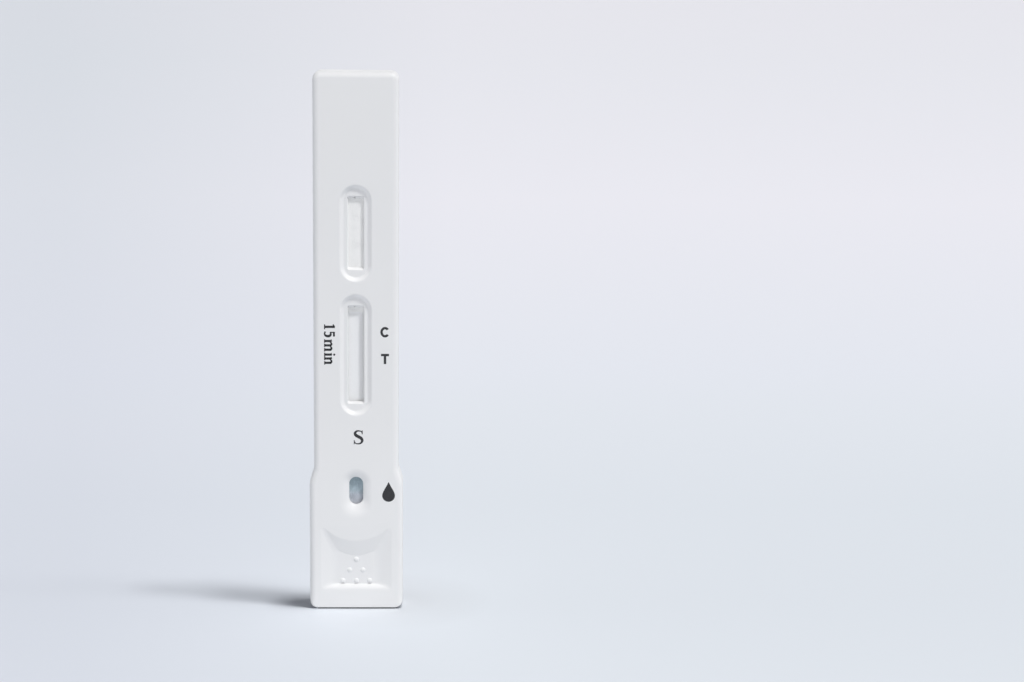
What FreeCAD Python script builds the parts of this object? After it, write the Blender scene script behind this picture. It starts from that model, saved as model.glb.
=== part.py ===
import FreeCAD, Part
import math
import os

V = FreeCAD.Vector

# Lateral flow test cassette, standing on its lower end. Millimetres.
# X runs across the face, Y from the front face to the back, Z up the cassette.

# Housing, outside
slim_width = 12.5
grip_width = 13.85
front_depth = 2.7
back_depth = 2.3
head_room = 9.2
corner_radius = 1.2
shoulder_bottom = 19.3
shoulder_height = 2.1
shoulder_radius = 3.0
front_edge_radius = 0.9
back_edge_radius = 0.5
seam_chamfer = 0.12

# Housing, walls
front_wall = 0.95
back_wall = 1.0
side_wall = 1.2

# Lip of the back cover, which stands in a rebate of the front cover
lip_height = 0.5
lip_thickness = 0.5
lip_clearance = 0.05

# Windows: a drafted slot in the floor of a shallow racetrack dish
window_width = 2.2
upper_window_length = 10.2
lower_window_length = 14.1
lower_window_bottom = 31.6
window_spacing = 5.9
window_side_draft = 0.12
window_end_draft = 0.3
window_corner_radius = 0.25
dish_depth = 0.5
dish_width = 4.85
dish_end_margin = 2.1
dish_slope_run = 0.75
dish_ease = 0.3

# Sample well: a slot-shaped hole at the bottom of a flared mouth
well_center = 18.05
well_width = 2.06
well_length = 4.18
well_mouth_depth = 0.7
well_mouth_run = 1.49
well_mouth_run_up = 1.55
well_mouth_run_down = 2.2
well_collar = 0.7

# Thumb grip: a recess with easing side slopes, a pressed-down upper edge, a ledge below and raised dots.
# The side slopes are straight over a share of their run. The ledge rounds over to the face by a power
# of its drop, with a first section close to the rim.
grip_bottom = 2.8
grip_half_width = 5.28
grip_middle_height = 7.7
grip_horn_height = 9.7
grip_depth = 0.55
grip_side_run = 2.6
grip_side_straight = 0.55
grip_top_run = 2.4
grip_horn_run = 3.85
grip_ledge_run = 0.95
grip_ledge_power = 0.4
grip_ledge_first = 0.1
grip_corner_radius = 0.5
grip_tip_radius = 0.4
grip_foot_radius = 0.5
dot_radius = 0.4
dot_height = 0.18
dot_root = 0.1
dot_rows = 3
dot_spacing_x = 2.0
dot_spacing_z = 1.65
dot_first_row = 1.4

# Test strip
strip_width = 4.0
strip_length = 60.0
strip_bottom = 11.0
card_thickness = 0.3
membrane_thickness = 0.15
conjugate_thickness = 0.2
sample_thickness = 0.3
absorbent_thickness = 0.45
sample_pad_length = 13.5
conjugate_pad_length = 7.5
pad_overlap = 2.0
absorbent_show = 0.7
pad_ramp = 0.35

# Strip seat in the back cover, and what the front cover presses on it
strip_side_clearance = 0.1
strip_end_clearance = 0.2
pad_clearance = 0.05
rail_thickness = 0.6
rail_rise = 0.35
rib_width = 0.8
rib_spacing = 7.0
press_bar_width = 1.2

# Press pins of the front cover and their sockets in the back cover
lowest_pin_height = 6.5
pin_spacing = 7.7
pin_radius = 0.55
pin_boss_radius = 1.0
socket_radius = 1.15
pin_clearance = 0.03
pin_end_clearance = 0.2
boss_gap = 0.05

# Depths, from the front face at the lowest y to the back
thickness = front_depth + back_depth
y_front = -thickness / 2
y_back = thickness / 2
y_seam = y_front + front_depth
y_lid = y_front + front_wall
y_floor = y_back - back_wall
y_card = y_lid + pad_clearance + absorbent_thickness
y_card_back = y_card + card_thickness
y_dish = y_front + dish_depth

# Heights along the strip
strip_top = strip_bottom + strip_length
sample_top = strip_bottom + sample_pad_length
conjugate_bottom = sample_top - pad_overlap
conjugate_top = conjugate_bottom + conjugate_pad_length
membrane_bottom = conjugate_top - pad_overlap
lower_window_top = lower_window_bottom + lower_window_length
absorbent_bottom = lower_window_top - absorbent_show
membrane_top = absorbent_bottom + pad_overlap
upper_window_bottom = lower_window_top + window_spacing
height = strip_top + head_room
pin_rows = (
    lowest_pin_height,
    (well_center + well_length / 2 + lower_window_bottom) / 2,
    lower_window_top + window_spacing / 2,
    strip_top + head_room / 2,
)

# How far a cutting shape runs past the face that it opens
past = 0.5


def box(x0, x1, y0, y1, z0, z1):
    """A block between two corners."""
    return Part.makeBox(x1 - x0, y1 - y0, z1 - z0, V(x0, y0, z0))


def join(shapes):
    """One solid out of shapes that touch or cross."""
    return shapes[0].multiFuse(shapes[1:]).removeSplitter()


def edges_in_plane(shape, y):
    """The edges of a shape that lie at depth y."""
    return [e for e in shape.Edges if abs(e.BoundBox.YMin - y) < 1e-6 and abs(e.BoundBox.YMax - y) < 1e-6]


def rounded_wire(corners, y):
    """A closed wire at depth y through corners (x, z, radius), each turned by an arc."""
    arcs = []
    for i, (x, z, radius) in enumerate(corners):
        here = V(x, y, z)
        before = V(corners[i - 1][0], y, corners[i - 1][1])
        after = V(corners[(i + 1) % len(corners)][0], y, corners[(i + 1) % len(corners)][1])
        back = (before - here).normalize()
        ahead = (after - here).normalize()
        half_turn = (math.pi - back.getAngle(ahead)) / 2
        reach = radius * math.tan(half_turn)
        middle = (back + ahead).normalize() * (radius / math.cos(half_turn) - radius)
        arcs.append((here + back * reach, here + middle, here + ahead * reach))
    edges = []
    for i, (start, middle, end) in enumerate(arcs):
        edges.append(Part.LineSegment(arcs[i - 1][2], start).toShape())
        edges.append(Part.Arc(start, middle, end).toShape())
    return Part.Wire(edges)


def inset(corners, distance):
    """The corners of a counter-clockwise outline moved inwards, with concentric arcs."""
    moved = []
    for i, (x, z, radius) in enumerate(corners):
        after = corners[(i + 1) % len(corners)]
        entering = V(x - corners[i - 1][0], 0, z - corners[i - 1][1]).normalize()
        leaving = V(after[0] - x, 0, after[1] - z).normalize()
        normals = V(-entering.z, 0, entering.x), V(-leaving.z, 0, leaving.x)
        shift = (normals[0] + normals[1]) * (distance / (1 + normals[0].dot(normals[1])))
        outward_corner = entering.x * leaving.z - entering.z * leaving.x > 0
        turned = radius - distance if outward_corner else radius + distance
        moved.append((x + shift.x, z + shift.z, max(turned, 0.1 * corner_radius)))
    return moved


def housing_outline(distance, bottom=0.0):
    """The housing's outline down to a bottom height, moved inwards by a distance."""
    slim = slim_width / 2
    grip = grip_width / 2
    shoulder_top = shoulder_bottom + shoulder_height
    right = [
        (grip, bottom, corner_radius),
        (grip, shoulder_bottom, shoulder_radius),
        (slim, shoulder_top, shoulder_radius),
        (slim, height, corner_radius),
    ]
    left = [(-x, z, radius) for x, z, radius in reversed(right)]
    return inset(right + left, distance)


def housing_block(distance, y0, y1):
    """A prism of the housing's outline between two depths."""
    return Part.Face(rounded_wire(housing_outline(distance), y0)).extrude(V(0, y1 - y0, 0))


def housing_shell(y0, y1, y_outer, edge_radius):
    """A block of the housing: outer edges rounded except at the flat foot, and the seam chamfered."""
    below = corner_radius + edge_radius
    longer = Part.Face(rounded_wire(housing_outline(0, -below), y0)).extrude(V(0, y1 - y0, 0))
    longer = longer.makeFillet(edge_radius, edges_in_plane(longer, y_outer))
    block = longer.common(housing_block(0, y0, y1))
    return block.makeChamfer(seam_chamfer, edges_in_plane(block, y_seam))


def racetrack_wire(half_width, z0, z1, y):
    """A slot outline with round ends between two heights, at depth y."""
    low = z0 + half_width
    high = z1 - half_width
    right = Part.LineSegment(V(half_width, y, low), V(half_width, y, high)).toShape()
    top = Part.Arc(V(half_width, y, high), V(0, y, z1), V(-half_width, y, high)).toShape()
    left = Part.LineSegment(V(-half_width, y, high), V(-half_width, y, low)).toShape()
    bottom = Part.Arc(V(-half_width, y, low), V(0, y, z0), V(half_width, y, low)).toShape()
    return Part.Wire([right, top, left, bottom])


def racetrack_cutter(section, z0, z1, reach):
    """A half section in the XY plane, run round a racetrack whose ends reach z0 and z1."""
    low = z0 + reach
    high = z1 - reach
    right = section.translated(V(0, 0, low)).extrude(V(0, 0, high - low))
    left = right.mirror(V(0, 0, 0), V(1, 0, 0))
    top = section.translated(V(0, 0, high)).revolve(V(0, 0, high), V(0, 1, 0), -180)
    bottom = section.translated(V(0, 0, low)).revolve(V(0, 0, low), V(0, 1, 0), 180)
    return join([right, left, top, bottom])


def dish_section():
    """Half of a dish's section: an eased rim, a slope and an eased foot round a flat floor."""
    outer = dish_width / 2
    ease_run = dish_slope_run * dish_ease
    ease_drop = ease_run * dish_depth / dish_slope_run / 2
    inner = outer - dish_slope_run
    return Part.Face(Part.makePolygon([
        V(outer, y_front, 0),
        V(outer - ease_run, y_front + ease_drop, 0),
        V(inner + ease_run, y_dish - ease_drop, 0),
        V(inner, y_dish, 0),
        V(0, y_dish, 0),
        V(0, y_front - past, 0),
        V(outer, y_front - past, 0),
        V(outer, y_front, 0),
    ]))


def window_slot(z0, z1):
    """A slot through the dish floor, wider towards the front."""
    wires = []
    for y in (y_dish - past, y_lid + past):
        share = (y_lid - y) / (y_lid - y_dish)
        half = window_width / 2 + window_side_draft * share
        grow = window_end_draft * share
        radius = window_corner_radius
        corners = [
            (-half, z0 - grow, radius),
            (half, z0 - grow, radius),
            (half, z1 + grow, radius),
            (-half, z1 + grow, radius),
        ]
        wires.append(rounded_wire(corners, y))
    return Part.makeLoft(wires, True, True)


def window_cutter(bottom, length):
    """A window: its dish and the slot in the dish floor."""
    top = bottom + length
    dish = racetrack_cutter(dish_section(), bottom - dish_end_margin, top + dish_end_margin, dish_width / 2)
    return dish.fuse(window_slot(bottom, top))


def well_cutter():
    """The sample well: a flared mouth that is tangent to the face, above a straight hole."""
    half = well_width / 2
    low = well_center - well_length / 2
    high = well_center + well_length / 2
    angle = 2 * math.atan(well_mouth_depth / well_mouth_run)
    steps = 4
    wires = []
    for step in range(steps + 1):
        turn = angle * step / steps
        run = 1 - math.sin(turn) / math.sin(angle)
        depth = well_mouth_depth * (1 - math.cos(turn)) / (1 - math.cos(angle))
        wires.append(racetrack_wire(
            half + well_mouth_run * run,
            low - well_mouth_run_down * run,
            high + well_mouth_run_up * run,
            y_front + depth,
        ))
    mouth = Part.makeLoft(wires, True, True)
    above = Part.Face(wires[0]).extrude(V(0, -past, 0))
    hole = Part.Face(wires[-1]).extrude(V(0, front_wall + past - well_mouth_depth, 0))
    return join([above, mouth, hole])


def grip_wire(half, low, middle, horn, corner, tip, y):
    """The thumb grip's outline at depth y: straight below and beside, sagging between two horns above.

    half is its half width, low its lower edge, middle and horn the heights of the sagging
    edge's middle and of the horns, and corner and tip the radii of the lower corners and horns.
    """
    tip_x = half - tip
    tip_z = horn - tip
    drop = tip_z - middle
    sag_radius = (tip_x ** 2 + drop ** 2 - tip ** 2) / (2 * (drop + tip))
    sag_center = V(0, y, middle + sag_radius)
    tip_center = V(tip_x, y, tip_z)
    touch = sag_center + (tip_center - sag_center) * (sag_radius / (sag_radius + tip))
    above = V(tip_x, y, tip_z) + ((touch - tip_center).normalize() + V(1, 0, 0)).normalize() * tip
    lean = corner * math.sqrt(0.5)
    lower_center = V(half - corner, y, low + corner)
    right_foot = V(half - corner, y, low)
    right_side = V(half, y, low + corner)
    right = [
        Part.Arc(right_foot, lower_center + V(lean, 0, -lean), right_side).toShape(),
        Part.LineSegment(right_side, V(half, y, tip_z)).toShape(),
        Part.Arc(V(half, y, tip_z), above, touch).toShape(),
    ]
    left = [edge.mirror(V(0, 0, 0), V(1, 0, 0)) for edge in right]
    sagging = Part.Arc(touch, V(0, y, middle), V(-touch.x, y, touch.z)).toShape()
    bottom = Part.LineSegment(V(-right_foot.x, y, low), right_foot).toShape()
    return Part.Wire([bottom] + right + [sagging] + left[::-1])


def grip_cutter():
    """The thumb grip: side slopes that ease into the floor, a flat slope above and a rounded ledge below."""
    straight = grip_side_straight
    pitch = 2 / (1 + straight)
    wires = []
    for run in (0, grip_ledge_first, straight, (straight + 1) / 2, 1):
        drop = pitch * run
        if run > straight:
            drop = 1 - pitch * (1 - run) ** 2 / (2 * (1 - straight))
        wires.append(grip_wire(
            grip_half_width - grip_side_run * run,
            grip_bottom + grip_ledge_run * drop ** grip_ledge_power,
            grip_bottom + grip_middle_height - grip_top_run * drop,
            grip_bottom + grip_horn_height - grip_horn_run * drop,
            grip_corner_radius + (grip_foot_radius - grip_corner_radius) * run,
            grip_tip_radius + (grip_foot_radius - grip_tip_radius) * run,
            y_front + grip_depth * drop,
        ))
    slopes = Part.makeLoft(wires, True, True)
    above = Part.Face(wires[0]).extrude(V(0, -past, 0))
    return above.fuse(slopes)


def grip_dots():
    """Raised dots on the grip's floor, in a triangle that points up."""
    ball = (dot_radius ** 2 + dot_height ** 2) / (2 * dot_height)
    ball_y = y_front + grip_depth + ball - dot_height
    base = math.degrees(math.asin((ball - dot_height - dot_root) / ball))
    dots = []
    for row in range(dot_rows):
        z = grip_bottom + dot_first_row + row * dot_spacing_z
        count = dot_rows - row
        for i in range(count):
            x = (i - (count - 1) / 2) * dot_spacing_x
            dots.append(Part.makeSphere(ball, V(x, ball_y, z), V(0, -1, 0), base, 90, 360))
    return dots


def pin_places():
    """The centres (x, z) of the press pins, in pairs."""
    return [(side * pin_spacing / 2, z) for z in pin_rows for side in (-1, 1)]


def front_cover():
    """The front cover: face, windows, sample well, thumb grip, press pins and pad presses."""
    cover = housing_shell(y_front, y_seam, y_front, front_edge_radius)
    cavity = housing_block(side_wall, y_lid, y_seam + past)
    rebate_inset = side_wall - lip_thickness - lip_clearance
    rebate = housing_block(rebate_inset, y_seam - lip_height - lip_clearance, y_seam + past)
    cover = cover.cut([cavity, rebate])
    added = []
    for x, z in pin_places():
        boss_length = y_seam - boss_gap - y_lid
        pin_length = y_floor - pin_end_clearance - y_lid
        added.append(Part.makeCylinder(pin_boss_radius, boss_length, V(x, y_lid, z), V(0, 1, 0)))
        added.append(Part.makeCylinder(pin_radius, pin_length, V(x, y_lid, z), V(0, 1, 0)))
    conjugate_face = y_card - membrane_thickness - conjugate_thickness
    bar_center = conjugate_top - pad_overlap / 2
    half_bar = strip_width / 2 + strip_side_clearance - pad_clearance
    added.append(box(
        -half_bar, half_bar, y_lid, conjugate_face - pad_clearance,
        bar_center - press_bar_width / 2, bar_center + press_bar_width / 2,
    ))
    collar_half = well_width / 2 + well_collar
    collar_low = well_center - well_length / 2 - well_collar
    collar_high = well_center + well_length / 2 + well_collar
    collar_depth = y_card - sample_thickness - pad_clearance - y_lid
    collar_wire = racetrack_wire(collar_half, collar_low, collar_high, y_lid)
    added.append(Part.Face(collar_wire).extrude(V(0, collar_depth, 0)))
    cover = join([cover] + added)
    cover = cover.cut([
        window_cutter(lower_window_bottom, lower_window_length),
        window_cutter(upper_window_bottom, upper_window_length),
        well_cutter(),
    ])
    cover = cover.cut(grip_cutter())
    return join([cover] + grip_dots())


def back_cover():
    """The back cover: floor, lip, pin sockets, strip rails, support ribs and end stops."""
    cover = housing_shell(y_seam, y_back, y_back, back_edge_radius)
    cover = cover.cut(housing_block(side_wall, y_seam - past, y_floor))
    lip = housing_block(side_wall - lip_thickness, y_seam - lip_height, y_seam)
    lip = lip.cut(housing_block(side_wall, y_seam - lip_height - past, y_seam + past))
    rail_top = y_card - rail_rise
    inner = strip_width / 2 + strip_side_clearance
    outer = inner + rail_thickness
    low = strip_bottom - strip_end_clearance
    high = strip_top + strip_end_clearance
    added = [lip]
    for side in (-1, 1):
        near, far = sorted((side * inner, side * outer))
        added.append(box(near, far, rail_top, y_floor, low, high))
    added.append(box(-outer, outer, rail_top, y_floor, low - rail_thickness, low))
    added.append(box(-outer, outer, rail_top, y_floor, high, high + rail_thickness))
    rib_count = int((strip_length - rib_width) / rib_spacing) + 1
    first_rib = strip_bottom + (strip_length - (rib_count - 1) * rib_spacing) / 2
    for i in range(rib_count):
        z = first_rib + i * rib_spacing
        added.append(box(-inner, inner, y_card_back, y_floor, z - rib_width / 2, z + rib_width / 2))
    holes = []
    for x, z in pin_places():
        added.append(Part.makeCylinder(socket_radius, y_floor - y_seam, V(x, y_seam, z), V(0, 1, 0)))
        hole_start = V(x, y_seam - lip_height - past, z)
        hole_length = y_floor - hole_start.y
        holes.append(Part.makeCylinder(pin_radius + pin_clearance, hole_length, hole_start, V(0, 1, 0)))
    return join([cover] + added).cut(holes)


def strip_piece(profile):
    """A strip layer: a side profile of (z, y) points, run across the strip's width."""
    points = [V(-strip_width / 2, y, z) for z, y in profile]
    return Part.Face(Part.makePolygon(points + points[:1])).extrude(V(strip_width, 0, 0))


def backing_card():
    """The adhesive card that carries the whole strip."""
    return strip_piece([
        (strip_bottom, y_card), (strip_top, y_card),
        (strip_top, y_card_back), (strip_bottom, y_card_back),
    ])


def nitrocellulose_membrane():
    """The thin membrane behind the lower window."""
    face = y_card - membrane_thickness
    return strip_piece([
        (membrane_bottom, face), (membrane_top, face),
        (membrane_top, y_card), (membrane_bottom, y_card),
    ])


def conjugate_pad():
    """The pad that bridges from the sample pad onto the membrane's lower end."""
    low_face = y_card - conjugate_thickness
    step_face = y_card - membrane_thickness
    return strip_piece([
        (conjugate_bottom, low_face), (membrane_bottom - pad_ramp, low_face),
        (membrane_bottom, low_face - membrane_thickness), (conjugate_top, low_face - membrane_thickness),
        (conjugate_top, step_face), (membrane_bottom, step_face),
        (membrane_bottom, y_card), (conjugate_bottom, y_card),
    ])


def sample_pad():
    """The pad behind the well, thinned where it laps over the conjugate pad."""
    face = y_card - sample_thickness
    lap_face = y_card - absorbent_thickness
    conjugate_face = y_card - conjugate_thickness
    return strip_piece([
        (strip_bottom, face), (conjugate_bottom - pad_ramp, face),
        (conjugate_bottom, lap_face), (sample_top, lap_face),
        (sample_top, conjugate_face), (conjugate_bottom, conjugate_face),
        (conjugate_bottom, y_card), (strip_bottom, y_card),
    ])


def absorbent_pad():
    """The thick pad behind the upper window, lapped over the membrane's upper end."""
    face = y_card - absorbent_thickness
    membrane_face = y_card - membrane_thickness
    return strip_piece([
        (absorbent_bottom, face), (strip_top, face),
        (strip_top, y_card), (membrane_top, y_card),
        (membrane_top, membrane_face), (absorbent_bottom, membrane_face),
    ])


PARTS = {
    "front_cover": front_cover,
    "back_cover": back_cover,
    "backing_card": backing_card,
    "nitrocellulose_membrane": nitrocellulose_membrane,
    "conjugate_pad": conjugate_pad,
    "sample_pad": sample_pad,
    "absorbent_pad": absorbent_pad,
}

os.makedirs("parts", exist_ok=True)
for name, make in PARTS.items():
    shape = make()
    shape.exportStep(f"parts/{name}.step")
    print(name, shape.isValid(), len(shape.Solids), round(shape.Volume, 2))
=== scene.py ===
import bpy
import math
from mathutils import Matrix, Vector
from mathutils.geometry import tessellate_polygon

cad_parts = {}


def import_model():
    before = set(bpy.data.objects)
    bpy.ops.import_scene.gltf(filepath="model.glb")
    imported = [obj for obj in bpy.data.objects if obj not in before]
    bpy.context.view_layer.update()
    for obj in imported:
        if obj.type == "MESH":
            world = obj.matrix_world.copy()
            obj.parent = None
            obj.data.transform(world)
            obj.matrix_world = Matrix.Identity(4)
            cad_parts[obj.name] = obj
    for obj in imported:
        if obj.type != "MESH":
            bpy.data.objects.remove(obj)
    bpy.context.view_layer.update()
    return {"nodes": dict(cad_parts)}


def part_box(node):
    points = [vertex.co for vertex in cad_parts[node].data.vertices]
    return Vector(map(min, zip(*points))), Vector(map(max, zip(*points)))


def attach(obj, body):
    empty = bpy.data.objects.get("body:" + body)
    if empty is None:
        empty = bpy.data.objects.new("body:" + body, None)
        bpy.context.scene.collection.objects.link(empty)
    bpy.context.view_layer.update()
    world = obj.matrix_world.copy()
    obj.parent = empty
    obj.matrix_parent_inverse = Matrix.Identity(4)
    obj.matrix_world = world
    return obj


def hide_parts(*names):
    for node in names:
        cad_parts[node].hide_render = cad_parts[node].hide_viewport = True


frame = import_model()
nodes = frame["nodes"]

# Shapes are in millimetres until a mesh is made. Materials, floor and camera are in metres.
MM = 0.001


def node_box(name):
    """A CAD node's lowest and highest corners in millimetres."""
    low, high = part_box(name)
    return [c / MM for c in low], [c / MM for c in high]


housing_low, housing_high = node_box("front_cover")
back_high = node_box("back_cover")[1]

# Housing: x runs across, y from the front to the back, z up.
grip_half = housing_high[0]
slim_half = 6.25
height = housing_high[2]
y_box = housing_low[1]
y_back = back_high[1]
y_seam = 0.2
# The ink lies at the front of the CAD box, so the face is set back a little.
ink_room = 0.01
y_ink = y_box + 0.001
y_front = y_box + ink_room
front_wall = 0.95
back_wall = 1.0
y_lid = y_box + front_wall
y_floor = y_back - back_wall
side_wall = 1.2
corner_radius = 1.2
shoulder_bottom = 19.3
shoulder_height = 2.1
shoulder_radius = 3.0
front_edge_radius = 0.9
back_edge_radius = 0.5
# At the foot the outer edges are almost sharp, and the front shell's clears the floor.
foot_edge_radius = 0.14
foot_lift = 0.14
seam_chamfer = 0.12
lip_inset = 0.65
lip_height = 0.55
rebate = 0.5
# Narrow flat strip beside each slope, which keeps the slope's shading off the face.
eased = 0.06
crease_degrees = 28

# Windows
dish_half = 2.425
dish_run = 0.75
dish_depth = 0.5
dish_steps = 9
dish_end_margin = 2.1
window_half = 1.1
side_draft = 0.12
end_draft = 0.3
slot_corner = 0.25
slot_edge = 0.07
slot_edge_steps = 4
lower_window = (31.6, 45.7)
upper_window = (51.6, 61.8)

# Sample well
well_center = 18.05
well_half = 1.03
well_length = 4.18
well_depth = 0.7
well_run = 1.49
well_run_up = 1.55
well_run_down = 2.2
well_steps = 14

# Thumb grip
grip_bottom = 2.8
grip_recess_half = 5.28
grip_middle = 7.7
grip_horn = 9.7
grip_corner = 0.5
grip_tip = 0.4
grip_tip_growth = 0.1
grip_depth = 0.55
grip_side_run = 2.6
grip_side_straight = 0.55
grip_top_run = 2.4
grip_horn_run = 3.85
grip_ledge_run = 0.95
grip_ledge_power = 0.4
grip_lip = 0.004
grip_runs = (0.03, 0.07, 0.12, 0.2, 0.3, 0.42, 0.55, 0.62, 0.7, 0.78, 0.86, 0.94, 1)
dot_radius = 0.4
dot_height = 0.18
dot_margins = (0.1, 0.04)
dot_steps = 5
dots = [(-2.0, 4.2), (0.0, 4.2), (2.0, 4.2), (-1.0, 5.85), (1.0, 5.85), (0.0, 7.5)]


# Loops of points

def turned_corners(corners, arc_steps, line_step=None, line_count=None):
    """Points (x, z, outward x, outward z) round an outline with rounded corners.

    The corners (x, z, radius) run counter-clockwise.
    """
    turns = []
    for i, (x, z, radius) in enumerate(corners):
        here = Vector((x, z))
        before = Vector(corners[i - 1][:2])
        after = Vector(corners[(i + 1) % len(corners)][:2])
        back = (before - here).normalized()
        ahead = (after - here).normalized()
        half = (math.pi - back.angle(ahead)) / 2
        reach = radius * math.tan(half)
        start = here + back * reach
        end = here + ahead * reach
        center = here + (back + ahead).normalized() * (radius / math.cos(half))
        entering = -back
        convex = entering.x * ahead.y - entering.y * ahead.x > 0
        first = math.atan2(start.y - center.y, start.x - center.x)
        sweep = 2 * half if convex else -2 * half
        arc = []
        for k in range(arc_steps + 1):
            a = first + sweep * k / arc_steps
            out = Vector((math.cos(a), math.sin(a)))
            normal = out if convex else -out
            arc.append((center.x + radius * out.x, center.y + radius * out.y, normal.x, normal.y))
        turns.append(arc)
    points = []
    for i, arc in enumerate(turns):
        start = turns[i - 1][-1]
        end = arc[0]
        run = math.dist(start[:2], end[:2])
        count = line_count or max(1, round(run / line_step))
        normal = (end[1] - start[1]) / run, -(end[0] - start[0]) / run
        for k in range(1, count):
            t = k / count
            points.append((
                start[0] + (end[0] - start[0]) * t,
                start[1] + (end[1] - start[1]) * t,
                normal[0], normal[1],
            ))
        points += arc
    return points


def smooth(t):
    """A share from 0 to 1, eased at both ends."""
    t = min(max(t, 0.0), 1.0)
    return t * t * (3 - 2 * t)


housing_corners = [
    (grip_half, 0, corner_radius),
    (grip_half, shoulder_bottom, shoulder_radius),
    (slim_half, shoulder_bottom + shoulder_height, shoulder_radius),
    (slim_half, height, corner_radius),
]
housing_corners += [(-x, z, r) for x, z, r in reversed(housing_corners)]
outline = turned_corners(housing_corners, arc_steps=10, line_step=2.0)


def foot_share(z):
    """0 on the flat foot, 1 where the outer edges are fully rounded."""
    return smooth(z / corner_radius)


def housing_ring(y, inset, radius=None):
    """The housing's outline moved inwards; inset may depend on the local edge radius."""
    ring = []
    for x, z, nx, nz in outline:
        if radius is None:
            d, yy = inset, y
        else:
            local = foot_edge_radius + (radius - foot_edge_radius) * foot_share(z)
            d, yy = inset(local), y(local)
        ring.append((x - nx * d, yy, z - nz * d))
    return ring


def edge_rings(face, wall, radius, steps=8):
    """Rings from the flat face over the rounded edge to the side wall.

    The front shell's are lifted at the foot.
    """
    into = 1 if wall > face else -1
    lift = foot_lift if into > 0 else 0
    rings = [housing_ring(lambda r: face, lambda r: r + eased, radius)]
    for k in range(steps + 1):
        a = math.pi / 2 * k / steps
        rings.append(housing_ring(
            lambda r: face + into * r * (1 - math.cos(a)),
            lambda r: r * (1 - math.sin(a)),
            radius,
        ))
    return [[(x, y, z + lift * (1 - foot_share(z))) for x, y, z in ring] for ring in rings]


def racetrack(half, z0, z1, y, arc=20, line=4):
    """A slot outline with round ends, from its right side counter-clockwise."""
    low, high = z0 + half, z1 - half
    points = []
    for k in range(line):
        points.append((half, y, low + (high - low) * k / line))
    for k in range(arc):
        a = math.pi * k / arc
        points.append((half * math.cos(a), y, high + half * math.sin(a)))
    for k in range(line):
        points.append((-half, y, high + (low - high) * k / line))
    for k in range(arc):
        a = math.pi + math.pi * k / arc
        points.append((half * math.cos(a), y, low + half * math.sin(a)))
    return points


def slot_ring(half, z0, z1, radius, y):
    """A rounded rectangle."""
    corners = [(half, z0, radius), (half, z1, radius), (-half, z1, radius), (-half, z0, radius)]
    return [(x, y, z) for x, z, _, _ in turned_corners(corners, arc_steps=6, line_count=8)]


def arc_points(center, radius, start, end, steps):
    """Points on an arc between two angles, without the last one."""
    return [(
        center[0] + radius * math.cos(start + (end - start) * k / steps),
        center[1] + radius * math.sin(start + (end - start) * k / steps),
    ) for k in range(steps)]


def mirrored(points):
    """The same points on the other side, in reverse order."""
    return [(-x, z) for x, z in reversed(points)]


def grip_ring(run, drop, y, grow=0.0):
    """The thumb grip's outline at shares of its side slopes' run and of its depth."""
    half = grip_recess_half - grip_side_run * run + grow
    low = grip_bottom + grip_ledge_run * drop ** grip_ledge_power - grow
    middle = grip_bottom + grip_middle - grip_top_run * drop + grow
    horn = grip_bottom + grip_horn - grip_horn_run * drop + grow
    corner = grip_corner + grow
    corner_x, corner_z = half - corner, low + corner
    tip = grip_tip + grip_tip_growth * run + grow
    tip_x, tip_z = half - tip, horn - tip
    # The top hangs as one arc between the round tips of the two horns.
    fall = tip_z - middle
    sag = (tip_x ** 2 + fall ** 2 - tip ** 2) / (2 * (fall + tip))
    sag_z = middle + sag
    lean = math.atan2(sag_z - tip_z, -tip_x)
    touch = (tip_x + tip * math.cos(lean), tip_z + tip * math.sin(lean))
    start = math.atan2(touch[1] - sag_z, touch[0])
    right = arc_points((corner_x, corner_z), corner, -math.pi / 2, 0, 6)
    side = [(half, corner_z + (tip_z - low - corner) * k / 10) for k in range(10)]
    turn = arc_points((tip_x, tip_z), tip, 0, lean, 10)
    hollow = arc_points((0, sag_z), sag, start, -math.pi - start, 24)
    left_turn = mirrored(turn[1:] + [touch])
    left_side = mirrored(side[1:] + [turn[0]])
    left = mirrored(right[1:] + [side[0]])
    foot = [(-corner_x + 2 * corner_x * k / 10, low) for k in range(10)]
    points = right + side + turn + hollow + left_turn + left_side + left + foot
    return [(x, y, z) for x, z in points]


# Meshes

no_area = 1e-9


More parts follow.
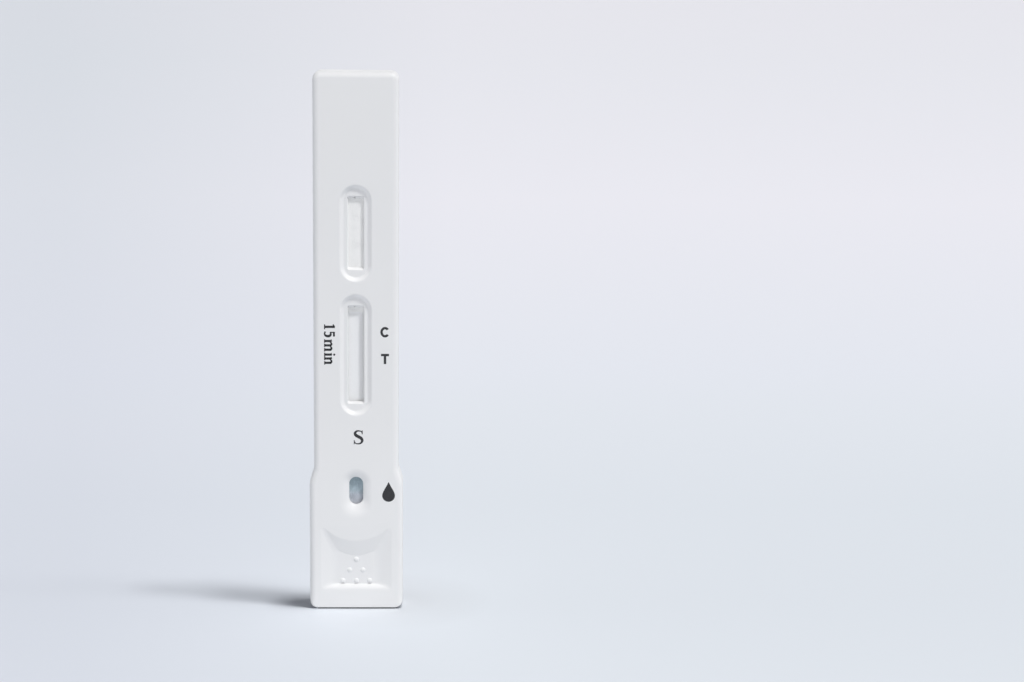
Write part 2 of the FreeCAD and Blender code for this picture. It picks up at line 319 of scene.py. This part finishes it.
class Shell:
    """Vertices and faces of one mesh, built from rings and flat fills."""

    def __init__(self):
        self.points = []
        self.faces = []

    def ring(self, points):
        start = len(self.points)
        self.points += points
        return list(range(start, len(self.points)))

    def bridge(self, rings, flip=False):
        """Quads between neighbouring rings; flip turns their normals round."""
        ids = [self.ring(r) for r in rings]
        for a, b in zip(ids, ids[1:]):
            n = len(a)
            for i in range(n):
                j = (i + 1) % n
                quad = (a[i], a[j], b[j], b[i])
                self.faces.append(quad[::-1] if flip else quad)
        return ids[0], ids[-1]

    def fill(self, outer, holes, toward_front):
        """A flat face between a ring and the rings of its holes."""
        loops = [outer] + holes
        flat = [[Vector((self.points[i][0], self.points[i][2], 0)) for i in loop] for loop in loops]
        order = [i for loop in loops for i in loop]
        for tri in tessellate_polygon(flat):
            face = [order[k] for k in tri]
            a, b, c = (self.points[i] for i in face)
            turn = (b[0] - a[0]) * (c[2] - a[2]) - (b[2] - a[2]) * (c[0] - a[0])
            if abs(turn) < no_area:
                continue
            if (turn > 0) != toward_front:
                face.reverse()
            self.faces.append(tuple(face))

    def cap(self, ring, tip):
        """A fan from a ring to one point."""
        center = self.ring([tip])[0]
        for i, a in enumerate(ring):
            self.faces.append((a, ring[(i + 1) % len(ring)], center))

    def make(self, name, material, slot):
        mesh = bpy.data.meshes.new(name)
        mesh.from_pydata([[c * MM for c in p] for p in self.points], [], self.faces)
        mesh.validate()
        mesh.polygons.foreach_set("use_smooth", [True] * len(mesh.polygons))
        mesh.set_sharp_from_angle(angle=math.radians(crease_degrees))
        mesh.materials.append(material)
        piece = bpy.data.objects.new(name, mesh)
        bpy.context.scene.collection.objects.link(piece)
        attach(piece, "root")
        return piece


# Materials

class Nodes:
    """Short hand for building one node tree."""

    def __init__(self, name):
        self.material = bpy.data.materials.new(name)
        self.material.use_nodes = True
        self.tree = self.material.node_tree
        self.tree.nodes.clear()
        self.out = self.add("ShaderNodeOutputMaterial")

    def add(self, kind, inputs=None, **settings):
        node = self.tree.nodes.new(kind)
        for key, value in settings.items():
            setattr(node, key, value)
        for key, value in (inputs or {}).items():
            if isinstance(value, bpy.types.NodeSocket):
                self.tree.links.new(value, node.inputs[key])
            else:
                node.inputs[key].default_value = value
        return node

    def place(self):
        """Where a point is on the piece, in metres."""
        return self.add("ShaderNodeTexCoord").outputs["Object"]

    def noise(self, scale, detail, rough, vector=None):
        node = self.add("ShaderNodeTexNoise", {
            "Vector": vector or self.place(), "Scale": scale, "Detail": detail, "Roughness": rough,
        })
        return node.outputs["Fac"]

    def ramp(self, value, stops):
        node = self.add("ShaderNodeValToRGB", {"Fac": value})
        node.color_ramp.elements.remove(node.color_ramp.elements[1])
        for i, (at, color) in enumerate(stops):
            stop = node.color_ramp.elements[0] if i == 0 else node.color_ramp.elements.new(at)
            stop.position = at
            stop.color = (*color, 1)
        return node.outputs["Color"]

    def blend(self, kind, share, a, b):
        """Two colours mixed; 0, 6 and 7 are a Mix node's share and colour sockets."""
        node = self.add("ShaderNodeMix", {0: share, 6: a, 7: b}, data_type="RGBA", blend_type=kind)
        return node.outputs[2]

    def calc(self, kind, a, b):
        return self.add("ShaderNodeMath", {0: a, 1: b}, operation=kind).outputs[0]

    def span(self, value, low, high):
        """Maps 0..1 to a range."""
        return self.add("ShaderNodeMapRange", {
            "Value": value, "To Min": low, "To Max": high,
        }).outputs["Result"]

    def share(self, value, low, high):
        """Maps a range to 0..1."""
        return self.add("ShaderNodeMapRange", {
            "Value": value, "From Min": low, "From Max": high,
        }).outputs["Result"]

    def bump(self, height, distance, strength, under=None):
        inputs = {"Height": height, "Distance": distance, "Strength": strength}
        if under is not None:
            inputs["Normal"] = under
        return self.add("ShaderNodeBump", inputs).outputs["Normal"]

    def principled(self, **inputs):
        named = {key.replace("_", " "): value for key, value in inputs.items()}
        shader = self.add("ShaderNodeBsdfPrincipled", named)
        self.tree.links.new(shader.outputs["BSDF"], self.out.inputs["Surface"])
        return self.material


def linear(r, g, b):
    """Linear colour from 0-255 display values, by the sRGB curve."""
    out = []
    for c in (r, g, b):
        c = c / 255
        out.append(c / 12.92 if c <= 0.04045 else ((c + 0.055) / 1.055) ** 2.4)
    return tuple(out)


def plastic(name, light, dark):
    """Satin moulded polystyrene: faint flow clouds, uneven gloss and a fine mould texture."""
    n = Nodes(name)
    clouds = n.noise(45, 3, 0.55)
    color = n.ramp(clouds, [(0.3, dark), (0.7, light)])
    rough = n.span(n.noise(160, 4, 0.6), 0.38, 0.50)
    waves = n.noise(120, 1, 0.4)
    grain = n.noise(5200, 2, 0.6)
    normal = n.bump(waves, 0.00006, 0.25)
    normal = n.bump(grain, 0.000006, 0.35, normal)
    return n.principled(Base_Color=color, Roughness=rough, Normal=normal, Specular_IOR_Level=0.5)


fibre_turns = (0.5, -0.9)
fibre_stretch = 0.22
# Heights in metres over which the sample pad's painted shade runs.
painted_shade_heights = (0.016, 0.0202)


def felt(name, stops, fibre_depth, cloud_scale=700, painted_shade_tint=None):
    """Fibrous paper or felt: clumps, crossing fibres and a soft matt surface.

    An optional ramp up the height, shown through the sample well, is painted shade: darker towards
    the top, with a tint from light lilac at the bottom to blue-green at the top.
    """
    n = Nodes(name)
    place = n.place()
    layers = []
    for turn in fibre_turns:
        stretch = n.add("ShaderNodeMapping", {
            "Vector": place, "Scale": (1.0, 1.0, fibre_stretch), "Rotation": (0, turn, 0),
        })
        layers.append(n.noise(9000, 2, 0.5, stretch.outputs["Vector"]))
    fibres = n.calc("MAXIMUM", *layers)
    clumps = n.noise(cloud_scale, 4, 0.6)
    color = n.ramp(n.calc("ADD", clumps, n.span(fibres, -0.25, 0.25)), stops)
    if painted_shade_tint:
        # Painted shade: the pad darker towards the top of the well, with a tint.
        up = n.add("ShaderNodeSeparateXYZ", {"Vector": place}).outputs["Z"]
        color = n.blend("MULTIPLY", 1.0, color, n.ramp(n.share(up, *painted_shade_heights), painted_shade_tint))
    normal = n.bump(clumps, fibre_depth * 2, 0.6)
    normal = n.bump(fibres, fibre_depth, 0.8, normal)
    rough = n.span(fibres, 0.82, 0.95)
    return n.principled(Base_Color=color, Roughness=rough, Normal=normal, Sheen_Weight=0.1)


def smooth_membrane(name):
    """Cast membrane: almost even, with a faint microscopic grain."""
    n = Nodes(name)
    grain = n.noise(3500, 3, 0.6)
    color = n.ramp(grain, [(0.3, (0.93, 0.93, 0.93)), (0.7, (0.95, 0.95, 0.95))])
    rough = n.span(grain, 0.6, 0.72)
    return n.principled(Base_Color=color, Roughness=rough, Normal=n.bump(grain, 0.000008, 0.4))


def film(name):
    """White polyester film with a slight sheen."""
    n = Nodes(name)
    haze = n.noise(300, 2, 0.5)
    color = n.ramp(haze, [(0.3, (0.78, 0.79, 0.80)), (0.7, (0.82, 0.83, 0.84))])
    rough = n.span(haze, 0.3, 0.4)
    return n.principled(Base_Color=color, Roughness=rough, Normal=n.bump(haze, 0.00001, 0.2))


def printed_ink(name):
    """Pad-printed black ink: slightly uneven cover, satin."""
    n = Nodes(name)
    spread = n.noise(2600, 3, 0.65)
    color = n.ramp(spread, [(0.35, (0.010, 0.010, 0.012)), (0.75, (0.024, 0.024, 0.028))])
    rough = n.span(spread, 0.45, 0.6)
    return n.principled(Base_Color=color, Roughness=rough, Normal=n.bump(spread, 0.000004, 0.4))


white = plastic("housing_plastic", (0.855, 0.850, 0.848), (0.842, 0.837, 0.835))
linter = felt(
    "absorbent_fibre",
    [(0.25, (0.86, 0.85, 0.84)), (0.5, (0.925, 0.92, 0.905)), (0.75, (0.95, 0.945, 0.93))],
    fibre_depth=0.00002,
)
felt_grey = felt(
    "sample_fibre",
    [(0.25, (0.38, 0.41, 0.44)), (0.5, (0.54, 0.57, 0.60)), (0.75, (0.74, 0.75, 0.78))],
    fibre_depth=0.00003,
    cloud_scale=500,
    # Painted shade up the well's pad: darker and blue-green towards the top, light lilac at the
    # bottom.
    painted_shade_tint=[
        (0.0, (1.0, 0.97, 1.0)), (0.3, (0.92, 0.93, 0.98)),
        (0.5, (0.74, 0.86, 0.90)), (0.9, (0.64, 0.76, 0.80)),
    ],
)
glass_felt = felt(
    "conjugate_fibre",
    [(0.3, (0.62, 0.54, 0.54)), (0.7, (0.75, 0.68, 0.68))],
    fibre_depth=0.00002,
)
membrane = smooth_membrane("membrane_cast")
card = film("card_film")
ink = printed_ink("mark_ink")

for node, material in {
    "backing_card": card,
    "nitrocellulose_membrane": membrane,
    "conjugate_pad": glass_felt,
    "sample_pad": felt_grey,
    "absorbent_pad": linter,
}.items():
    nodes[node].data.materials.clear()
    nodes[node].data.materials.append(material)


# Front cover

def window_rings(z0, z1):
    """Dish rings from the face to the dish floor, and slot rings from there through the wall."""
    y_dish = y_box + dish_depth
    top, bottom = z1 + dish_end_margin, z0 - dish_end_margin
    dish = [racetrack(dish_half + eased, bottom - eased, top + eased, y_front)]
    for k in range(dish_steps + 1):
        run = k / dish_steps
        d = dish_run * run
        y = y_front + (y_dish - y_front) * smooth(run)
        dish.append(racetrack(dish_half - d, bottom + d, top - d, y))
    d = dish_run + eased
    dish.append(racetrack(dish_half - d, bottom + d, top - d, y_dish))
    half = window_half + side_draft
    low, high = z0 - end_draft, z1 + end_draft
    rounding = [(2 * slot_edge, y_dish)]
    for k in range(slot_edge_steps + 1):
        a = math.pi / 2 * k / slot_edge_steps
        rounding.append((slot_edge * (1 - math.sin(a)), y_dish + slot_edge * (1 - math.cos(a))))
    slot = [slot_ring(half + g, low - g, high + g, slot_corner + g, y) for g, y in rounding]
    slot.append(slot_ring(window_half, z0, z1, slot_corner, y_lid))
    return dish, slot


def well_ring(run, y, grow=0.0):
    """The sample well's outline at a share of its flared mouth's run."""
    low = well_center - well_length / 2
    high = well_center + well_length / 2
    return racetrack(
        well_half + well_run * run + grow, low - well_run_down * run - grow,
        high + well_run_up * run + grow, y, arc=24, line=3,
    )


def well_rings():
    """Rings from the face down the flared mouth and through the hole."""
    angle = 2 * math.atan(well_depth / well_run)
    rings = [well_ring(1, y_front, eased)]
    for k in range(well_steps + 1):
        turn = angle * k / well_steps
        run = 1 - math.sin(turn) / math.sin(angle)
        depth = (1 - math.cos(turn)) / (1 - math.cos(angle))
        rings.append(well_ring(run, y_front + (well_depth - ink_room) * depth))
    rings.append(well_ring(0, y_lid))
    return rings


def grip_rings():
    """Rings from the face down the scooped slopes to the grip's floor."""
    pitch = 2 / (1 + grip_side_straight)
    rings = [grip_ring(0, 0, y_front, 2 * eased), grip_ring(0, 0, y_front + grip_lip, eased)]
    for run in grip_runs:
        drop = pitch * run
        if run > grip_side_straight:
            drop = 1 - pitch * (1 - run) ** 2 / (2 * (1 - grip_side_straight))
        rings.append(grip_ring(run, drop, y_front + (grip_depth - ink_room) * drop))
    rings.append(grip_ring(1, 1, y_box + grip_depth, -eased))
    return rings


def circle(x, z, radius, y, count=20):
    return [(
        x + radius * math.cos(2 * math.pi * k / count), y,
        z + radius * math.sin(2 * math.pi * k / count),
    ) for k in range(count)]


def dot_rings(x, z, y_grip):
    """Rings of a flat margin and of the sphere cap that stands on it."""
    ball = (dot_radius ** 2 + dot_height ** 2) / (2 * dot_height)
    span = math.asin(dot_radius / ball)
    rings = [circle(x, z, dot_radius + margin, y_grip) for margin in dot_margins]
    for k in range(dot_steps):
        a = span * (1 - k / dot_steps)
        y = y_grip + ball - dot_height - ball * math.cos(a)
        rings.append(circle(x, z, ball * math.sin(a), y))
    return rings


def front_shell():
    shell = Shell()
    rings = edge_rings(y_front, y_seam, front_edge_radius)
    rings.append(housing_ring(y_seam - seam_chamfer, 0))
    rings.append(housing_ring(y_seam, seam_chamfer))
    rings.append(housing_ring(y_seam, lip_inset))
    rings.append(housing_ring(y_seam - lip_height, lip_inset))
    rings.append(housing_ring(y_seam - lip_height, side_wall))
    rings.append(housing_ring(y_lid, side_wall))
    face, cavity = shell.bridge(rings, flip=True)
    face_holes = []
    lid_holes = []
    for z0, z1 in (lower_window, upper_window):
        dish, slot = window_rings(z0, z1)
        rim, floor = shell.bridge(dish)
        edge, inside = shell.bridge(slot)
        shell.fill(floor, [edge], True)
        face_holes.append(rim)
        lid_holes.append(inside)
    rim, inside = shell.bridge(well_rings())
    face_holes.append(rim)
    lid_holes.append(inside)
    rim, floor = shell.bridge(grip_rings())
    face_holes.append(rim)
    y_grip = y_box + grip_depth
    dot_holes = []
    for x, z in dots:
        base, top = shell.bridge(dot_rings(x, z, y_grip))
        shell.cap(top, (x, y_grip - dot_height, z))
        dot_holes.append(base)
    shell.fill(floor, dot_holes, True)
    shell.fill(face, face_holes, True)
    shell.fill(cavity, lid_holes, False)
    return shell


front = front_shell().make("front_shell", white, "housing")
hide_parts("front_cover")


# Back cover

def back_shell():
    shell = Shell()
    rings = edge_rings(y_back, y_seam, back_edge_radius)
    rings.append(housing_ring(y_seam + seam_chamfer, 0))
    rings.append(housing_ring(y_seam, seam_chamfer))
    rings.append(housing_ring(y_seam, side_wall - rebate))
    rings.append(housing_ring(y_seam - rebate, side_wall - rebate))
    rings.append(housing_ring(y_seam - rebate, side_wall))
    rings.append(housing_ring(y_floor, side_wall))
    face, floor = shell.bridge(rings)
    shell.fill(face, [], False)
    shell.fill(floor, [], True)
    return shell


back = back_shell().make("back_shell", white, "housing")
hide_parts("back_cover")


# Marks

class Mark:
    """Flat ink shapes on the face, drawn in their own (u, v) plane and laid at (x, z)."""

    def __init__(self, x, z, size, turned=False):
        self.x, self.z, self.size, self.turned = x, z, size, turned
        self.shell = Shell()

    def point(self, u, v):
        u, v = u * self.size, v * self.size
        if self.turned:
            return (self.x + v, y_ink, self.z - u)
        return (self.x + u, y_ink, self.z + v)

    def polygon(self, points):
        ids = self.shell.ring([self.point(u, v) for u, v in points])
        self.shell.fill(ids, [], True)

    def bar(self, u0, v0, u1, v1):
        self.polygon([(u0, v0), (u1, v0), (u1, v1), (u0, v1)])

    def stroke(self, path, steps=8):
        """A pen stroke through (u, v, width) points, smooth between them."""
        fine = []
        for i in range(len(path) - 1):
            before = path[max(i - 1, 0)]
            a, b = path[i], path[i + 1]
            after = path[min(i + 2, len(path) - 1)]
            for k in range(steps):
                t = k / steps
                fine.append([0.5 * (
                    2 * q + (r - p) * t + (2 * p - 5 * q + 4 * r - s) * t * t
                    + (3 * q - p - 3 * r + s) * t ** 3
                ) for p, q, r, s in zip(before, a, b, after)])
        fine.append(list(path[-1]))
        left, right = [], []
        for i, (u, v, w) in enumerate(fine):
            a = fine[max(i - 1, 0)]
            b = fine[min(i + 1, len(fine) - 1)]
            run = math.dist(a[:2], b[:2])
            nu, nv = -(b[1] - a[1]) / run, (b[0] - a[0]) / run
            left.append((u + nu * w / 2, v + nv * w / 2))
            right.append((u - nu * w / 2, v - nv * w / 2))
        for i in range(len(fine) - 1):
            self.polygon([left[i], right[i], right[i + 1], left[i + 1]])

    def make(self, name):
        return self.shell.make(name, ink, "housing")


def mark_control():
    """The letter C by the control line."""
    m = Mark(3.64, 41.37, 1.53)
    mouth = 38
    ring = []
    for k in range(25):
        a = math.radians(mouth + (360 - 2 * mouth) * k / 24)
        ring.append((0.425 + 0.335 * math.cos(a), 0.5 + 0.395 * math.sin(a), 0.23))
    m.stroke(ring, 2)
    m.make("mark_control")


def mark_test():
    """The letter T by the test line."""
    m = Mark(3.70, 37.37, 1.53)
    m.bar(0.0, 0.77, 0.765, 1.0)
    m.bar(0.265, 0.0, 0.50, 0.78)
    m.make("mark_test")


def mark_sample():
    """The letter S above the sample well."""
    m = Mark(-0.47, 25.24, 2.14)
    m.stroke([
        (0.655, 0.76, 0.05), (0.60, 0.90, 0.07), (0.46, 0.955, 0.085), (0.27, 0.935, 0.12),
        (0.155, 0.80, 0.18), (0.22, 0.645, 0.21), (0.40, 0.54, 0.22), (0.58, 0.43, 0.21),
        (0.65, 0.27, 0.18), (0.56, 0.10, 0.12), (0.38, 0.045, 0.085), (0.19, 0.08, 0.075),
        (0.10, 0.24, 0.05),
    ])
    m.bar(0.625, 0.72, 0.68, 0.99)
    m.bar(0.07, 0.01, 0.125, 0.30)
    m.make("mark_sample")


def mark_time():
    """The reading time beside the lower window, read downwards."""
    m = Mark(-4.65, 43.3, 1.59, turned=True)
    m.bar(0.145, 0.0, 0.365, 1.0)
    m.bar(0.03, 0.0, 0.48, 0.10)
    m.stroke([(0.02, 0.83, 0.09), (0.12, 0.87, 0.12), (0.25, 0.94, 0.12)])
    m.bar(0.75, 0.82, 1.16, 1.0)
    m.bar(0.72, 0.54, 0.82, 1.0)
    m.stroke([
        (0.76, 0.57, 0.11), (0.90, 0.62, 0.17), (1.06, 0.555, 0.22), (1.13, 0.34, 0.24),
        (1.05, 0.12, 0.20), (0.88, 0.05, 0.13), (0.70, 0.11, 0.17),
    ])
    for start, stems in ((1.43, 3), (3.07, 2)):
        pitch = 0.41
        for k in range(stems):
            u = start + 0.07 + pitch * k
            m.bar(u - 0.02, 0.0, u + 0.19, 0.66)
            m.bar(u - 0.08, 0.0, u + 0.25, 0.10)
            if k:
                m.stroke([
                    (u - pitch + 0.15, 0.54, 0.11), (u - 0.13, 0.655, 0.16),
                    (u + 0.01, 0.66, 0.19), (u + 0.085, 0.55, 0.20),
                ])
        m.stroke([(start, 0.64, 0.07), (start + 0.1, 0.67, 0.08), (start + 0.2, 0.71, 0.07)])
    m.bar(2.755, 0.0, 2.965, 0.70)
    m.bar(2.68, 0.0, 3.05, 0.10)
    m.stroke([(2.70, 0.64, 0.07), (2.80, 0.67, 0.08), (2.90, 0.71, 0.07)])
    circle_points = [(math.cos(k * math.pi / 6), math.sin(k * math.pi / 6)) for k in range(12)]
    m.polygon([(2.865 + 0.1 * u, 0.93 + 0.1 * v) for u, v in circle_points])
    m.make("mark_time")


def mark_drop():
    """The drop beside the sample well."""
    m = Mark(4.83, 17.45, 1.0)
    points = []
    for k in range(25):
        a = math.radians(-205 + 230 * k / 24)
        points.append((0.945 * math.cos(a), 0.95 * math.sin(a)))
    side = [(0.80, 0.58), (0.62, 0.92), (0.40, 1.30), (0.20, 1.68), (0.06, 1.98), (0.0, 2.08)]
    points += side
    points += [(-u, v) for u, v in reversed(side[:-1])]
    m.polygon(points)
    m.make("mark_drop")


mark_control()
mark_test()
mark_sample()
mark_time()
mark_drop()


# Floor, light, camera

# The floor's tones are laid out by slope and by side from one fixed point above the sheet.
floor_depth = 0.3255
floor_side = 0.0117
floor_drop = 0.0979
nearest_depth = 0.2
slope_range = (0.02, 0.49)
side_range = (-0.167, 0.007)
floor_stops = [
    (0.0, (225, 224, 229)), (0.064, (227, 227, 232)), (0.196, (234, 233, 239)),
    (0.362, (228, 231, 238)), (0.402, (226, 230, 236)), (0.491, (222, 227, 233)),
    (0.591, (222, 227, 233)), (0.677, (224, 229, 235)), (1.0, (203, 207, 212)),
]
# Centre of the painted shade around the foot.
foot_shade_center = (0.005, 0.002, 0)
# Half size of the painted dark patch under the foot, which stands in for the shade there.
contact_shade_half = (0.0058, 0.00245, 1)
floor_half = 6.0
no_tint = (1.0, 1.0, 1.0)


def floor():
    """A pale sheet of paper, with painted shade to the left, around the foot and right under it."""
    n = Nodes("floor_paper")
    parts = n.add("ShaderNodeSeparateXYZ", {"Vector": n.place()})
    depth = n.calc("MAXIMUM", n.calc("ADD", parts.outputs["Y"], floor_depth), nearest_depth)
    slope = n.share(n.calc("DIVIDE", floor_drop, depth), *slope_range)
    color = n.ramp(slope, [(at, linear(*c)) for at, c in floor_stops])
    side = n.calc("DIVIDE", n.calc("SUBTRACT", parts.outputs["X"], floor_side), depth)
    side = n.share(side, *side_range)
    # Painted shade: the floor grows darker towards the left, more so far back.
    near_shade = n.ramp(side, [(0.0, (0.915, 0.91, 0.935)), (1.0, no_tint)])
    far_shade = n.ramp(side, [(0.0, (0.835, 0.87, 0.88)), (1.0, no_tint)])
    far_share = n.ramp(slope, [(0.2, (1.0, 1.0, 1.0)), (0.42, (0.0, 0.0, 0.0))])
    color = n.blend("MULTIPLY", 1.0, color, n.blend("MIX", far_share, near_shade, far_shade))

    # Painted shade around the foot: the floor darker within about 16 mm of it.
    to_foot = {0: n.place(), 1: foot_shade_center}
    apart = n.add("ShaderNodeVectorMath", to_foot, operation="DISTANCE")
    around = n.ramp(apart.outputs["Value"], [
        (0.003, (0.86, 0.85, 0.84)), (0.008, (0.94, 0.935, 0.93)), (0.016, no_tint),
    ])
    color = n.blend("MULTIPLY", 1.0, color, around)

    # Painted shade: the floor right under the foot is almost black, which darkens the gap under its
    # front edge.
    under = n.add("ShaderNodeVectorMath", {0: n.place(), 1: contact_shade_half}, operation="DIVIDE")
    under = n.add("ShaderNodeVectorMath", {0: under.outputs[0]}, operation="ABSOLUTE")
    under = n.add("ShaderNodeSeparateXYZ", {"Vector": under.outputs[0]})
    under = n.calc("MAXIMUM", under.outputs["X"], under.outputs["Y"])
    under = n.ramp(under, [(0.98, (0.1, 0.1, 0.11)), (1.0, no_tint)])
    color = n.blend("MULTIPLY", 1.0, color, under)

    tooth = n.noise(900, 3, 0.6)
    rough = n.span(tooth, 0.5, 0.6)
    n.principled(Base_Color=color, Roughness=rough, Normal=n.bump(tooth, 0.00001, 0.2))
    corners = [(-1, -1), (1, -1), (1, 1), (-1, 1)]
    mesh = bpy.data.meshes.new("floor")
    mesh.from_pydata([(x * floor_half, y * floor_half, 0) for x, y in corners], [], [(0, 1, 2, 3)])
    mesh.materials.append(n.material)
    piece = bpy.data.objects.new("floor", mesh)
    bpy.context.scene.collection.objects.link(piece)
    return piece


# Each light: name, degrees from the right towards the front, degrees above the floor, strength
# and apparent size in degrees.
floor_suns = [
    ("over_steep", 8, 86, 1.43, 4),
    ("over_high", 17, 78, 0.56, 5),
    ("over_middle", 17, 70, 0.56, 5),
    ("over_front", 30, 74, 0.20, 5),
    ("over_low", 17, 62, 0.11, 5),
    ("side_low", 10, 25, 0.22, 8),
]
cassette_suns = [
    ("key", 42, 56, 2.12, 9),
    ("front_fill", 82, 8, 0.78, 50),
    ("top_fill", 17, 72, 0.22, 12),
    ("right_fill", -25, 10, 0.28, 25),
    ("left_fill", 160, 12, 0.65, 30),
]
back_sun = ("back_fill", 255, 20, 0.95, 40)


def sun(name, azimuth, elevation, strength, size, receivers, glossy=True):
    """A soft light from one direction that reaches only some pieces."""
    around, above = math.radians(azimuth), math.radians(elevation)
    level = math.cos(above)
    toward = (level * math.cos(around), -level * math.sin(around), math.sin(above))
    data = bpy.data.lights.new(name, "SUN")
    data.energy = strength
    data.angle = math.radians(size)
    lamp = bpy.data.objects.new(name, data)
    lamp.rotation_euler = Vector(toward).to_track_quat("Z", "Y").to_euler()
    lamp.visible_glossy = glossy
    bpy.context.scene.collection.objects.link(lamp)
    group = bpy.data.collections.new(name + "_receivers")
    for piece in receivers:
        group.objects.link(piece)
    lamp.light_linking.receiver_collection = group


def world():
    """A pale room to the camera and to reflections, and a weak bluish light to the rest."""
    w = bpy.data.worlds.new("studio")
    w.use_nodes = True
    tree = w.node_tree
    tree.nodes.clear()

    def background(color, strength):
        node = tree.nodes.new("ShaderNodeBackground")
        node.inputs["Color"].default_value = (*color, 1)
        node.inputs["Strength"].default_value = strength
        return node.outputs[0]

    path = tree.nodes.new("ShaderNodeLightPath")
    share = path.outputs["Is Camera Ray"]
    for ray in ("Is Glossy Ray", "Is Transmission Ray"):
        either = tree.nodes.new("ShaderNodeMath")
        either.operation = "MAXIMUM"
        tree.links.new(share, either.inputs[0])
        tree.links.new(path.outputs[ray], either.inputs[1])
        share = either.outputs[0]
    mix = tree.nodes.new("ShaderNodeMixShader")
    tree.links.new(share, mix.inputs["Fac"])
    tree.links.new(background((0.86, 0.97, 1.20), 0.05), mix.inputs[1])
    tree.links.new(background(linear(232, 234, 240), 1.0), mix.inputs[2])
    out = tree.nodes.new("ShaderNodeOutputWorld")
    tree.links.new(mix.outputs[0], out.inputs["Surface"])
    bpy.context.scene.world = w


picture_width = 1024
sensor_mm = 36
focal_px = 2227.53
camera_pitch = 10
camera_yaw = 2
camera_roll = 0.611
camera_place = (11.691, -325.488, 97.896)


def camera():
    """The fitted view: a little from the right, looking down by the pitch."""
    data = bpy.data.cameras.new("camera")
    data.sensor_width = sensor_mm
    data.lens = focal_px / picture_width * sensor_mm
    data.clip_start = 0.01
    data.clip_end = 50
    eye = bpy.data.objects.new("camera", data)
    pitch, yaw, roll = (math.radians(d) for d in (camera_pitch, camera_yaw, camera_roll))
    level = Vector((math.sin(yaw), math.cos(yaw), 0))
    right = Vector((math.cos(yaw), -math.sin(yaw), 0))
    up = Vector((0, 0, 1))
    ahead = level * math.cos(pitch) - up * math.sin(pitch)
    above = up * math.cos(pitch) + level * math.sin(pitch)
    rolled_right = right * math.cos(roll) + above * math.sin(roll)
    rolled_above = above * math.cos(roll) - right * math.sin(roll)
    turn = Matrix((rolled_right, rolled_above, -ahead)).transposed()
    eye.matrix_world = Matrix.Translation(Vector(camera_place) * MM) @ turn.to_4x4()
    bpy.context.scene.collection.objects.link(eye)
    bpy.context.scene.camera = eye


paper = floor()
cassette = [o for o in bpy.context.scene.objects if o.type == "MESH" and o is not paper]
world()
for row in floor_suns:
    sun(*row, [paper])
for row in cassette_suns:
    sun(*row, cassette)
sun(*back_sun, cassette, glossy=False)
camera()
bpy.context.scene.view_settings.view_transform = "Standard"
